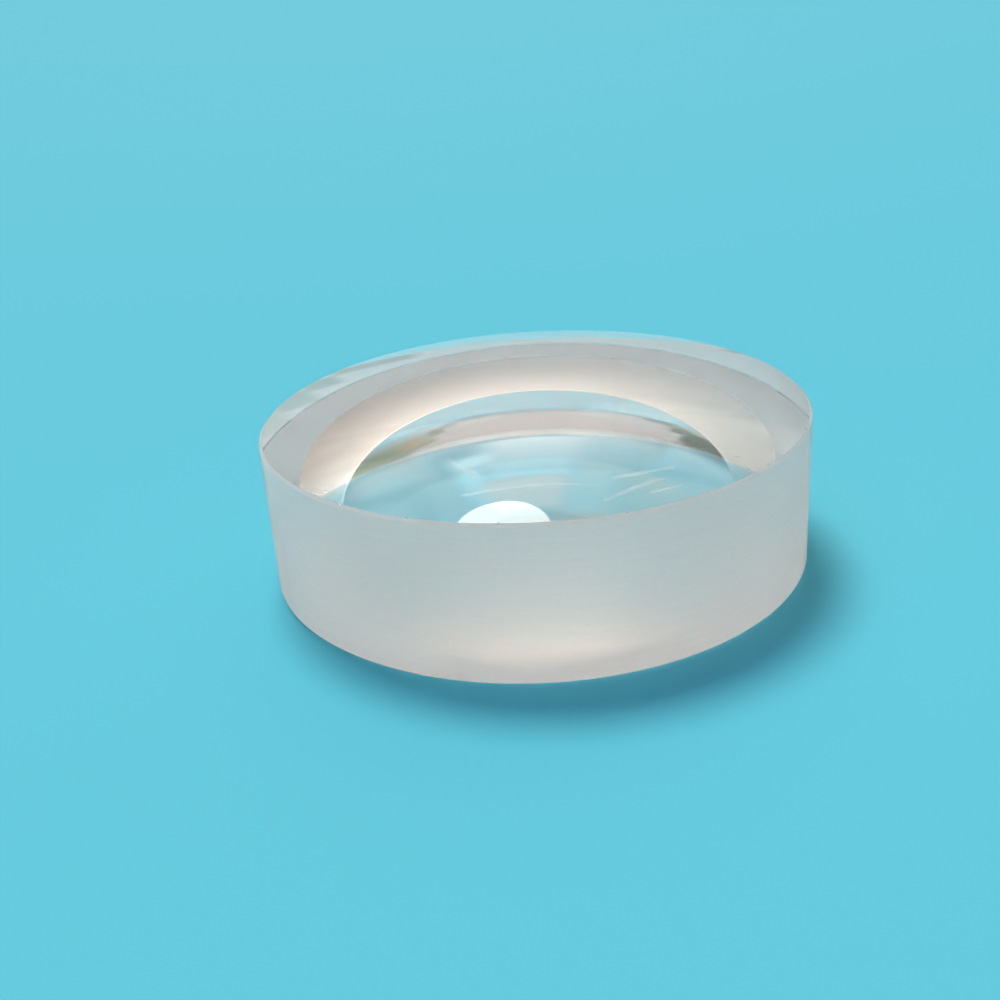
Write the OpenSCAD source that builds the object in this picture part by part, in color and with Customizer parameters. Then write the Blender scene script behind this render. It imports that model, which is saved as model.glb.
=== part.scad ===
// Meniscus lens: a thick round glass blank with a weak convex face on top, a deeper
// concave face below, a flat ring round the concave face that the lens stands on, and a
// fine-ground cylindrical edge with a small protective chamfer at each end.
//
// The frame: millimetres, +Z up along the optical axis, origin at the centre of the
// plane of the resting ring.

/* [Edge] */
// Outside diameter of the ground edge
lens_d = 60; // [54:0.5:90]
// Leg of the 45 degree chamfer between the edge and the convex face
top_chamfer = 0.3; // [0.1:0.05:1.5]
// Leg of the 45 degree chamfer between the edge and the resting ring
bottom_chamfer = 0.3; // [0.1:0.05:1.5]

/* [Faces] */
// Radius of curvature of the convex face on top
convex_r = 148; // [80:1:600]
// Radius of curvature of the concave face below
concave_r = 65; // [48:0.5:300]
// Glass thickness on the optical axis
centre_t = 15; // [8:0.1:30]
// Width of the flat resting ring, from the edge's diameter to the concave face
ring_w = 5.7; // [2:0.1:12]

/* [Hidden] */

// Height of a spherical cap of curvature radius r over a chord circle of radius a
function cap_height(r, a) = r - sqrt(r * r - a * a);

lens_r = lens_d / 2;
concave_a = lens_r - ring_w;                          // radius of the concave face's rim
hollow_h = cap_height(concave_r, concave_a);          // depth of the hollow at the axis
crown_z = hollow_h + centre_t;                        // highest point of the convex face
convex_a = lens_r - top_chamfer;                      // radius of the convex face's rim
rim_z = crown_z - cap_height(convex_r, convex_a);     // height of that rim
foot_r = lens_r - bottom_chamfer;                     // outer radius of the resting ring

facets = 360;

// A 45 degree cone, radius r at height z, that narrows upwards between two heights
module cone_up(r, z, z_low, z_high) {
    translate([0, 0, z_low])
        cylinder(h = z_high - z_low, r1 = r + z - z_low, r2 = r + z - z_high, $fn = facets);
}

// The round blank with both chamfers, still flat above and below
module chamfered_blank() {
    intersection() {
        cylinder(h = crown_z, r = lens_r, $fn = facets);
        cone_up(convex_a, rim_z, 0, crown_z);
        // the lower cone is the same cone turned over, and opens upwards from the foot
        cylinder(h = crown_z, r1 = foot_r, r2 = foot_r + crown_z, $fn = facets);
    }
}

// The ball whose upper cap is the convex face
module convex_ball() {
    translate([0, 0, crown_z - convex_r]) sphere(r = convex_r, $fn = facets);
}

// The ball that grinds the hollow out of the underside
module concave_ball() {
    translate([0, 0, hollow_h - concave_r]) sphere(r = concave_r, $fn = facets);
}

module lens() {
    color([0.80, 0.88, 0.88, 0.6])
        difference() {
            intersection() {
                chamfered_blank();
                convex_ball();
            }
            concave_ball();
        }
}

lens();
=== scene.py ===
"""A thick glass meniscus lens with a fine-ground edge, standing on its flat ring.

Everything is in metres, in the part's own frame: the optical axis is Z, the resting ring
lies in the plane z = 0 and the convex face looks up.
"""
import bpy
import math
import numpy as np
from mathutils import Matrix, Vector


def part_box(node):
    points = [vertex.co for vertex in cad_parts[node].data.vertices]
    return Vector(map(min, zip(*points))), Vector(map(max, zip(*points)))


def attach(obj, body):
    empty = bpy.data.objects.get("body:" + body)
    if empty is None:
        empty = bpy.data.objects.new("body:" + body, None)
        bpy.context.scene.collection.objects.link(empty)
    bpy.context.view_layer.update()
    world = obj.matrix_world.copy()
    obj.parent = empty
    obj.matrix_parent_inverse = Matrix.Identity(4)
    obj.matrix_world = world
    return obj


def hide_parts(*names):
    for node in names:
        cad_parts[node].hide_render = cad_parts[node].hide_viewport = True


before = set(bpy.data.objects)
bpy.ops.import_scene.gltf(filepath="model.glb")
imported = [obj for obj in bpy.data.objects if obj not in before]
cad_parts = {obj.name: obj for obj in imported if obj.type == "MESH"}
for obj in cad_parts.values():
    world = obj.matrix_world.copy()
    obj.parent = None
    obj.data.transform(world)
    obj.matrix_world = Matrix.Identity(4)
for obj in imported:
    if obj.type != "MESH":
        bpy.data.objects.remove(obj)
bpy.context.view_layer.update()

MM = 0.001

# ---------------------------------------------------------------- sizes of the lens
_, high_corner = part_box("lens")
LENS_R = high_corner[0]                  # outside radius of the ground edge
CROWN_Z = high_corner[2]                 # highest point of the convex face
CONVEX_R = 148 * MM                      # curvature radius of the convex face
CONCAVE_R = 65 * MM                      # curvature radius of the concave face
RING_W = 5.7 * MM                        # width of the flat resting ring
CHAMFER = 0.3 * MM                       # leg of both 45 degree chamfers
GLASS_IOR = 1.5168                       # common crown glass


def cap_height(curvature, chord):
    """Height of a spherical cap over a chord circle: r - sqrt(r^2 - a^2)."""
    return curvature - np.sqrt(curvature**2 - np.asarray(chord) ** 2)


CONCAVE_A = LENS_R - RING_W              # radius of the concave face's rim
HOLLOW_H = float(cap_height(CONCAVE_R, CONCAVE_A))
CONVEX_A = LENS_R - CHAMFER              # radius of the convex face's rim
RIM_Z = CROWN_Z - float(cap_height(CONVEX_R, CONVEX_A))

# ---------------------------------------------------------------- camera
CAMERA_PLACE = (-0.004303, -0.128021, 0.062898)
CAMERA_TILT = 24.007                     # degrees below the horizon
CAMERA_ROLL = -4.057                     # degrees, positive turns the camera anticlockwise
CAMERA_LENS = 44.25                      # mm
SENSOR_W = 36                            # mm
NEAR_CLIP, FAR_CLIP = 0.005, 20


def camera():
    """The viewing camera: it looks along +Y and down, and rolls about its own view line."""
    tilt, roll = math.radians(CAMERA_TILT), math.radians(CAMERA_ROLL)
    forward = np.array([0, math.cos(tilt), -math.sin(tilt)])
    level_up = np.array([0, math.sin(tilt), math.cos(tilt)])
    level_right = np.array([1.0, 0, 0])
    right = math.cos(roll) * level_right + math.sin(roll) * level_up
    up = math.cos(roll) * level_up - math.sin(roll) * level_right
    data = bpy.data.cameras.new("viewing_camera")
    data.sensor_width, data.lens = SENSOR_W, CAMERA_LENS
    data.clip_start, data.clip_end = NEAR_CLIP, FAR_CLIP
    ob = bpy.data.objects.new("viewing_camera", data)
    bpy.context.scene.collection.objects.link(ob)
    turn = np.eye(4)
    turn[:3, 0], turn[:3, 1], turn[:3, 2], turn[:3, 3] = right, up, -forward, CAMERA_PLACE
    ob.matrix_world = Matrix(turn.tolist())
    bpy.context.scene.camera = ob


camera()


# ---------------------------------------------------------------- node helpers
def new_material(name):
    """A material with a Principled shader wired to its output. Returns it and the shader."""
    made = bpy.data.materials.new(name)
    made.use_nodes = True
    return made, made.node_tree.nodes["Principled BSDF"]


def feed(tree, target, value):
    """Puts a number, a tuple or another node's output into an input socket."""
    if isinstance(value, bpy.types.NodeSocket):
        tree.links.new(value, target)
    elif isinstance(value, tuple) and target.type == "RGBA":
        target.default_value = (*value, 1)
    else:
        target.default_value = value


def math_node(tree, operation, first, second=0.0):
    """A Math node over two sockets or numbers. Returns its output."""
    made = tree.nodes.new("ShaderNodeMath")
    made.operation = operation
    feed(tree, made.inputs[0], first)
    feed(tree, made.inputs[1], second)
    return made.outputs[0]


def vector_node(tree, operation, first, second, scale=None):
    """A Vector Math node. Returns it, because the length and the dot product come out of its
    second output."""
    made = tree.nodes.new("ShaderNodeVectorMath")
    made.operation = operation
    feed(tree, made.inputs[0], first)
    if second is not None:
        feed(tree, made.inputs[1], second)
    if scale is not None:
        feed(tree, made.inputs["Scale"], scale)
    return made


def smooth_step(tree, value, low, high):
    """0 at low, 1 at high and a smooth ramp between; it falls where low is above high."""
    made = tree.nodes.new("ShaderNodeMapRange")
    made.interpolation_type = "SMOOTHSTEP"
    feed(tree, made.inputs["Value"], value)
    feed(tree, made.inputs["From Min"], low)
    feed(tree, made.inputs["From Max"], high)
    return made.outputs[0]


# where a Mix node keeps its factor and the two colours, and the colour that comes out
MIX_FACTOR, MIX_FIRST, MIX_SECOND, MIX_RESULT = 0, 6, 7, 2


def mix_colour(tree, factor, first, second):
    """A colour mix: first where the factor is 0, second where it is 1."""
    made = tree.nodes.new("ShaderNodeMix")
    made.data_type = "RGBA"
    feed(tree, made.inputs[MIX_FACTOR], factor)
    feed(tree, made.inputs[MIX_FIRST], first)
    feed(tree, made.inputs[MIX_SECOND], second)
    return made.outputs[MIX_RESULT]


def noise(tree, place, scale):
    """Fractal noise of a place, 0 to 1, with scale cells to the metre."""
    made = tree.nodes.new("ShaderNodeTexNoise")
    feed(tree, made.inputs["Vector"], place)
    feed(tree, made.inputs["Scale"], scale)
    return made.outputs[0]


def stretched(tree, place, scale):
    """A place multiplied by a scale of its own for each axis."""
    return vector_node(tree, "MULTIPLY", place, scale).outputs[0]


def object_place(tree):
    """The Object coordinates."""
    return tree.nodes.new("ShaderNodeTexCoord").outputs["Object"]


# ---------------------------------------------------------------- materials
# Shares are of the light that meets a face. A ramp gives the noise values at which an effect
# starts and is full. A scale is in cells to the metre, for each axis where it has three values.
CLEAR_SHARE = 0.99                       # what a clean polished face lets through
HAZE_SHARE = 0.008                       # most that dust and handling scatter
SMEAR_SHARE = 0.13                       # most that a smear scatters
WIPE_SCALE = (260.0, 2600.0, 0.0)        # streaks left by wiping, long along X
HAZE_RAMP = (0.25, 0.75)
SMEAR_RAMP = (0.20, 0.55)
# wiping smears on the convex face: x and y of both ends and half the width, in mm
SMEARS = (
    (-9.0, -17.9, -6.4, -21.4, 0.75),
    (-7.6, -24.4, -3.0, -23.85, 0.55),
    (-3.0, -23.85, 0.9, -23.85, 0.40),
    (0.9, -23.85, 4.2, -24.5, 0.32),
    (5.2, -26.9, 8.5, -24.85, 0.50),
    (8.5, -24.85, 10.9, -23.65, 0.40),
    (6.5, -23.4, 12.0, -21.6, 0.60),
    (9.6, -25.9, 12.4, -24.8, 0.35),
)


def smear(tree, place, x0, y0, x1, y1, width):
    """1 on the line from one end to the other, fading to 0 at its width: the distance is
    |p - a - h (b - a)|, where h = (p - a).(b - a) / |b - a|^2, held between 0 and 1."""
    start, along = (x0 * MM, y0 * MM, 0.0), ((x1 - x0) * MM, (y1 - y0) * MM, 0.0)
    from_start = vector_node(tree, "SUBTRACT", place, start).outputs[0]
    dot = vector_node(tree, "DOT_PRODUCT", from_start, along).outputs[1]
    share = math_node(tree, "DIVIDE", dot, along[0] ** 2 + along[1] ** 2)
    share = math_node(tree, "MINIMUM", math_node(tree, "MAXIMUM", share, 0.0), 1.0)
    foot = vector_node(tree, "SCALE", along, None, share).outputs[0]
    away = vector_node(tree, "SUBTRACT", from_start, foot).outputs[0]
    distance = vector_node(tree, "LENGTH", away, None).outputs[1]
    return smooth_step(tree, distance, width * MM, 0.0)


def polished_glass(name, smears):
    """Optically polished crown glass with a faint haze of dust and handling, thicker where
    it was wiped."""
    made, shader = new_material(name)
    tree = made.node_tree
    place = object_place(tree)
    flat = stretched(tree, place, (1.0, 1.0, 0.0))       # the smears are laid out in plan
    streaks = noise(tree, stretched(tree, place, WIPE_SCALE), 1.0)
    haze = math_node(tree, "MULTIPLY", smooth_step(tree, streaks, *HAZE_RAMP), HAZE_SHARE)
    worst = None
    for one in smears:
        mask = smear(tree, flat, *one)
        worst = mask if worst is None else math_node(tree, "MAXIMUM", worst, mask)
    if worst is not None:
        broken = smooth_step(tree, streaks, *SMEAR_RAMP)
        worst = math_node(tree, "MULTIPLY", worst, broken)
        haze = math_node(tree, "ADD", haze, math_node(tree, "MULTIPLY", worst, SMEAR_SHARE))
    shader.inputs["Base Color"].default_value = (1, 1, 1, 1)
    feed(tree, shader.inputs["Transmission Weight"], math_node(tree, "SUBTRACT", CLEAR_SHARE, haze))
    shader.inputs["Roughness"].default_value = 0
    shader.inputs["IOR"].default_value = GLASS_IOR
    return made


GRAIN_SCALE, GRAIN_WEIGHT = 3800.0, 0.45
LINE_SCALE, LINE_WEIGHT = (160.0, 160.0, 2300.0), 0.35  # thin and level, round the axis
CLOUD_SCALE, CLOUD_WEIGHT = 160.0, 0.20
TONE_RAMP = (0.30, 0.70)
DARK_TONE = (0.925, 0.940, 0.935)        # the light tone is white


def ground_glass(name, clear_share, roughness, pale):
    """Fine-ground glass: clear_share of the light goes through, spread by the roughness, and
    the rest is scattered back. The tone is the weighted sum of a fine grain, grinding lines
    and wide clouds, and runs from pale times DARK_TONE to pale times white."""
    made, shader = new_material(name)
    tree = made.node_tree
    place = object_place(tree)
    grain = noise(tree, place, GRAIN_SCALE)
    lines = noise(tree, stretched(tree, place, LINE_SCALE), 1.0)
    clouds = noise(tree, place, CLOUD_SCALE)
    mixed = math_node(tree, "ADD", math_node(tree, "MULTIPLY", grain, GRAIN_WEIGHT),
                      math_node(tree, "MULTIPLY", lines, LINE_WEIGHT))
    mixed = math_node(tree, "ADD", mixed, math_node(tree, "MULTIPLY", clouds, CLOUD_WEIGHT))
    tone = smooth_step(tree, mixed, *TONE_RAMP)
    dark = tuple(pale * part for part in DARK_TONE)
    feed(tree, shader.inputs["Base Color"], mix_colour(tree, tone, dark, (pale, pale, pale)))
    shader.inputs["Transmission Weight"].default_value = clear_share
    shader.inputs["Roughness"].default_value = roughness
    shader.inputs["IOR"].default_value = GLASS_IOR
    return made


# ---------------------------------------------------------------- the glass body
AROUND = 480                             # even facets round the axis
# nicks in the upper rim: degrees round the axis, ball radius in mm, and how far outside the
# rim the ball's middle lies, as a share of that radius
NICKS = ((221.2, 0.17, 0.62), (229.7, 0.16, 0.55), (233.1, 0.11, 0.60), (244.2, 0.19, 0.55),
         (261.05, 0.16, 0.50), (283.4, 0.12, 0.60), (64.0, 0.15, 0.55), (118.0, 0.12, 0.60),
         (336.5, 0.14, 0.60))
NICK_STEPS = 11                          # extra facets on each nick
ANGLE_DIGITS = 6                         # angles that agree so far are one facet
FINE = 0.05 * MM                         # row spacing next to the upper chamfer
FINE_ROWS = 5                            # rows at that spacing on each side of it
WIDE_ROWS_START = 8 * FINE               # distance from it at which the wide rows start
FACE_ROWS, EDGE_ROWS, RING_ROWS = 50, 14, 8      # evenly spaced rows on each stretch
TOP_CHAMFER_ROWS, FOOT_CHAMFER_ROWS = 8, 4
CONVEX, EDGE, TOP_CHAMFER, FOOT_CHAMFER, RING, CONCAVE = range(6)  # material slots


def half_profile():
    """The lens's half outline as (radius, height) rows from the crown, down the edge and back
    to the axis in the hollow, the material slot of the faces from each row to the next, and
    the rows at which the outline has a corner."""
    near_rim = np.arange(FINE_ROWS, 0, -1) * FINE
    wide_r = np.linspace(0, CONVEX_A - WIDE_ROWS_START, FACE_ROWS)
    top_r = np.concatenate([wide_r, CONVEX_A - near_rim, [CONVEX_A]])
    top = np.stack([top_r, CROWN_Z - cap_height(CONVEX_R, top_r)], 1)
    slant = CHAMFER * np.linspace(0, 1, TOP_CHAMFER_ROWS)
    top_chamfer = np.stack([CONVEX_A + slant, RIM_Z - slant], 1)
    shoulder_z = RIM_Z - CHAMFER
    wide_z = np.linspace(shoulder_z - WIDE_ROWS_START, CHAMFER, EDGE_ROWS)
    edge_z = np.concatenate([[shoulder_z], shoulder_z - near_rim[::-1], wide_z])
    edge = np.stack([np.full_like(edge_z, LENS_R), edge_z], 1)
    foot_r = LENS_R - CHAMFER * np.linspace(0, 1, FOOT_CHAMFER_ROWS)
    foot_z = CHAMFER * np.linspace(1, 0, FOOT_CHAMFER_ROWS)
    foot = np.stack([foot_r, foot_z], 1)
    ring_r = np.linspace(LENS_R - CHAMFER, CONCAVE_A, RING_ROWS)
    ring = np.stack([ring_r, np.zeros_like(ring_r)], 1)
    hollow_r = np.linspace(CONCAVE_A, 0, FACE_ROWS)
    hollow = np.stack([hollow_r, HOLLOW_H - cap_height(CONCAVE_R, hollow_r)], 1)
    stretches = ((top, CONVEX), (top_chamfer, TOP_CHAMFER), (edge, EDGE), (foot, FOOT_CHAMFER),
                 (ring, RING), (hollow, CONCAVE))
    rows, finish, corners = [], [], []
    for points, kind in stretches:
        if rows:
            corners.append(len(rows) - 1)
        rows.extend(points[1 if rows else 0:])
        finish.extend([kind] * (len(points) - 1))
    return np.array(rows), np.array(finish), corners


def facet_angles():
    """Even angles round the axis, with NICK_STEPS closer ones across each nick."""
    even = np.linspace(0, 2 * np.pi, AROUND, endpoint=False)
    fine = [math.radians(angle) + np.linspace(-1, 1, NICK_STEPS) * radius * MM / LENS_R
            for angle, radius, _ in NICKS]
    return np.unique(np.round(np.concatenate([even, *fine]), ANGLE_DIGITS))


def nick(points):
    """Bites small shells out of the upper rim: a point p inside a ball of middle c and radius
    r moves to c + r (p - c) / |p - c|, on the ball's surface. Returns the new points and
    which of them moved."""
    moved = np.zeros(len(points), bool)
    for angle, radius, outside in NICKS:
        turn, radius = math.radians(angle), radius * MM
        out_and_up = outside * radius * math.sqrt(0.5)   # each leg of a 45 degree step
        reach = CONVEX_A + out_and_up
        middle = np.array([reach * math.cos(turn), reach * math.sin(turn), RIM_Z + out_and_up])
        away = points - middle
        distance = np.linalg.norm(away, axis=1, keepdims=True)
        inside = distance[:, 0] < radius
        points = np.where(inside[:, None], middle + away * radius / distance, points)
        moved |= inside
    return points, moved


def sharpen(mesh, row_of, corners):
    """Marks the edges that run along a corner row's circle as sharp. row_of gives each
    point's row."""
    ends = np.empty(len(mesh.edges) * 2, int)
    mesh.edges.foreach_get("vertices", ends)
    first, second = row_of[ends.reshape(-1, 2)].T
    mesh.edges.foreach_set("use_edge_sharp", (first == second) & np.isin(first, corners))


def revolve(name, rows, finish, corners):
    """Carries a half outline round Z: (r, z) becomes (r cos t, r sin t, z) at the angles t,
    and then the nicks are bitten out. The outline's two ends lie on the axis and become one
    pole each. finish has the material slot of the faces from each row to the next, and
    corners are the rows whose circles are sharp edges."""
    t = facet_angles()
    around = len(t)
    rings = rows[1:-1]
    points = np.stack([rings[:, :1] * np.cos(t), rings[:, :1] * np.sin(t),
                       np.repeat(rings[:, 1:], around, 1)], -1).reshape(-1, 3)
    first_pole, last_pole = len(points), len(points) + 1
    points = np.vstack([points, [0, 0, rows[0, 1]], [0, 0, rows[-1, 1]]])
    points, moved = nick(points)
    grid = np.arange(len(rings) * around).reshape(len(rings), around)
    beside = np.roll(grid, -1, 1)
    quads = np.stack([grid[:-1], grid[1:], beside[1:], beside[:-1]], -1).reshape(-1, 4)
    upper = np.stack([np.full(around, first_pole), grid[0], beside[0]], -1)
    lower = np.stack([np.full(around, last_pole), beside[-1], grid[-1]], -1)
    mesh = bpy.data.meshes.new(name)
    mesh.from_pydata(points.tolist(), [], upper.tolist() + quads.tolist() + lower.tolist())
    kinds = finish.repeat(around)
    intact = np.zeros(around, bool)
    broken = np.concatenate([intact, moved[quads].all(1), intact])
    kinds[broken] = CONVEX               # a fresh break is clear
    mesh.polygons.foreach_set("material_index", kinds)
    mesh.polygons.foreach_set("use_smooth", np.ones(len(mesh.polygons), bool))
    row_of = np.concatenate([np.repeat(np.arange(1, len(rows) - 1), around), [0, len(rows) - 1]])
    sharpen(mesh, row_of, corners)
    mesh.update()
    ob = bpy.data.objects.new(name, mesh)
    bpy.context.scene.collection.objects.link(ob)
    return ob


def lens_glass():
    """The whole lens as one closed glass body that stands for its CAD solid."""
    body = revolve("lens_glass", *half_profile())
    finishes = (
        polished_glass("convex_face_glass", SMEARS),
        ground_glass("ground_edge_glass", clear_share=0.75, roughness=1.0, pale=1.0),
        ground_glass("top_chamfer_glass", clear_share=0.75, roughness=1.0, pale=0.82),
        ground_glass("foot_chamfer_glass", clear_share=0.80, roughness=0.60, pale=1.0),
        ground_glass("ground_ring_glass", clear_share=0.50, roughness=1.0, pale=1.0),
        polished_glass("concave_face_glass", ()),
    )
    for one in finishes:                 # in the order of the material slots
        body.data.materials.append(one)
    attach(body, "root")
    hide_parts("lens")


lens_glass()

# ---------------------------------------------------------------- floor, lamp and studio
FLOOR_COLOUR = (0.092, 0.455, 0.585)
FLOOR_HALF = 8.0                         # half the width of the table top
FLOOR_GAP = 0.03 * MM                    # it lies this much under the resting ring


def floor():
    """A plain pale table top just under the resting ring."""
    corners = ((-1, -1), (1, -1), (1, 1), (-1, 1))
    mesh = bpy.data.meshes.new("table_top")
    mesh.from_pydata([(x * FLOOR_HALF, y * FLOOR_HALF, -FLOOR_GAP) for x, y in corners],
                     [], [(0, 1, 2, 3)])
    made, shader = new_material("table_paper")
    shader.inputs["Base Color"].default_value = (*FLOOR_COLOUR, 1)
    shader.inputs["Roughness"].default_value = 0.8
    shader.inputs["Specular IOR Level"].default_value = 0.1
    mesh.materials.append(made)
    ob = bpy.data.objects.new("table_top", mesh)
    bpy.context.scene.collection.objects.link(ob)


LAMP_AZIMUTH, LAMP_HEIGHT = -18.5, 65.8  # degrees from +Y towards +X, and above the table
LAMP_ANGLE = 21.6                        # degrees across, seen from the lens
LAMP_STRENGTH = 3.1
LAMP_COLOUR = (1.0, 0.90, 0.83)


def lamp():
    """A wide soft lamp almost overhead, a little behind the lens and to its left, and so far
    off that it lights the whole table evenly."""
    data = bpy.data.lights.new("round_lamp", "SUN")
    data.angle, data.energy = math.radians(LAMP_ANGLE), LAMP_STRENGTH
    data.color = LAMP_COLOUR
    ob = bpy.data.objects.new("round_lamp", data)
    bpy.context.scene.collection.objects.link(ob)
    ob.rotation_euler = (math.radians(90 - LAMP_HEIGHT), 0, math.radians(180 - LAMP_AZIMUTH))


ROOM = (0.08, 0.09, 0.09)                # the dim walls all round
BACKDROP = (0.20, 0.62, 0.78)            # what the camera sees past the table
CARD_TOP = 38.9                          # height of the upright card's top, in degrees
# Soft bright and dark panels of the studio. Each one is a box of directions, left and right
# azimuth and low and high height over the table, then the softness of its sides and of its
# lower and upper borders, all in degrees, and its colour. A later panel hides an earlier one.
PANELS = (
    (-400, 400, 74, 100, 8, 8, (0.20, 0.50, 0.85)),        # overhead
    (-400, -150, -40, 30, 20, 8, (2.40, 0.90, 0.28)),      # warm wall behind the camera, left half
    (150, 400, -40, 30, 20, 8, (2.40, 0.90, 0.28)),        # and right half
    (-150, -90, 30, 74, 8, 8, (0.05, 0.50, 0.95)),         # high wall on the far left
    (90, 150, 30, 74, 8, 8, (0.45, 0.50, 0.60)),           # high wall on the far right
    (-90, -46, 48, 74, 5, 5, (0.50, 1.60, 1.60)),          # high window on the left
    (-46, -18, 20, 44, 4, 3, (0.55, 0.20, 0.05)),          # wall behind the lens, left
    (26, 48, 20, 46, 4, 3, (0.95, 1.15, 1.20)),            # wall behind the lens, right
    (-45, -20, CARD_TOP, 62, 4, 1, (1.00, 0.70, 0.40)),    # ceiling behind the lens, left
    (-20, -12, CARD_TOP, 56, 3, 2, (1.80, 2.20, 2.10)),    # its pale inner end
    (12, 45, CARD_TOP, 62, 4, 1, (1.60, 1.30, 0.90)),      # ceiling behind the lens, right
    (-22, 29, -40, 28, 2, 2, (0.43, 0.41, 0.40)),          # upright card behind the lens
    (-22, 10, 27, CARD_TOP, 2, 2, (0.16, 0.11, 0.08)),     # the card's dark upper left
    (-18, -7, 33, CARD_TOP, 3, 2, (2.10, 2.60, 2.45)),     # pale top of that
    (8, 29, 24, CARD_TOP, 2, 2, (0.88, 0.84, 0.75)),       # the card's upper right
    (-9, 12, 27, CARD_TOP, 5, 0.8, (1.80, 1.55, 1.40)),    # the card's upper middle
    (-12, 12, CARD_TOP, 47, 4, 0.8, (1.90, 2.20, 2.20)),   # gap over the card
    (-15, 12, 47, 60, 4, 2, (3.60, 1.60, 0.60)),           # warm glow over the gap
    (-46, -16, -40, 7, 1.0, 0.8, (0.30, 0.40, 0.38)),      # table edge, left
    (-16, -12, -40, 4, 0.8, 0.8, (0.38, 0.48, 0.48)),      # its inner end
    (28, 46, -40, 6, 1.0, 0.8, (0.35, 0.42, 0.40)),        # table edge, right
    (-46, -16, 7, 17, 0.8, 0.8, (0.22, 0.26, 0.15)),       # dark corner, left
    (-22, -18, 10, 15, 1.5, 1.5, (0.40, 0.24, 0.10)),      # brown spot in it
    (-16, -13, 5, 11.5, 0.6, 0.8, (0.10, 0.12, 0.07)),     # foot of the left corner
    (-13, -10.5, 2.5, 7, 0.6, 0.8, (0.10, 0.12, 0.07)),    # its toe
    (-10.5, -5, 0, 3, 0.8, 0.8, (0.14, 0.16, 0.12)),       # its tip
    (28, 46, 6, 15, 0.8, 0.8, (0.01, 0.04, 0.01)),         # dark corner, right
    (25, 28, 4, 10, 0.6, 0.8, (0.05, 0.08, 0.05)),         # foot of the right corner
    (20, 25, 1, 5, 0.8, 0.8, (0.08, 0.11, 0.08)),          # its toe
    (14, 20, 0, 2.5, 0.8, 0.8, (0.14, 0.16, 0.12)),        # its tip
)


def panel_mask(tree, azimuth, height, left, right, low, high, side, end):
    """1 inside a box of directions and 0 outside it: the product of four smooth steps."""
    mask = smooth_step(tree, azimuth, left - side, left + side)
    for value, inner, outer in ((azimuth, right - side, right + side),
                                (height, low + end, low - end),
                                (height, high - end, high + end)):
        mask = math_node(tree, "MULTIPLY", mask, smooth_step(tree, value, outer, inner))
    return mask


def studio():
    """The surroundings as a function of direction, in azimuth from +Y towards +X and height
    over the table. The camera itself sees a plain backdrop past the table."""
    world = bpy.data.worlds.new("studio")
    bpy.context.scene.world = world
    world.use_nodes = True
    tree = world.node_tree
    back = tree.nodes["Background"]
    part = tree.nodes.new("ShaderNodeSeparateXYZ")
    feed(tree, part.inputs[0], tree.nodes.new("ShaderNodeTexCoord").outputs["Generated"])
    x, y, z = part.outputs
    azimuth = math_node(tree, "DEGREES", math_node(tree, "ARCTAN2", x, y))
    height = math_node(tree, "DEGREES", math_node(tree, "ARCSINE", z))
    colour = ROOM
    for *edges, panel in PANELS:
        mask = panel_mask(tree, azimuth, height, *edges)
        colour = mix_colour(tree, mask, colour, panel)
    seen = tree.nodes.new("ShaderNodeLightPath").outputs["Is Camera Ray"]
    feed(tree, back.inputs["Color"], mix_colour(tree, seen, colour, BACKDROP))
    back.inputs["Strength"].default_value = 1.0


floor()
lamp()
studio()
bpy.context.scene.view_settings.view_transform = "Standard"
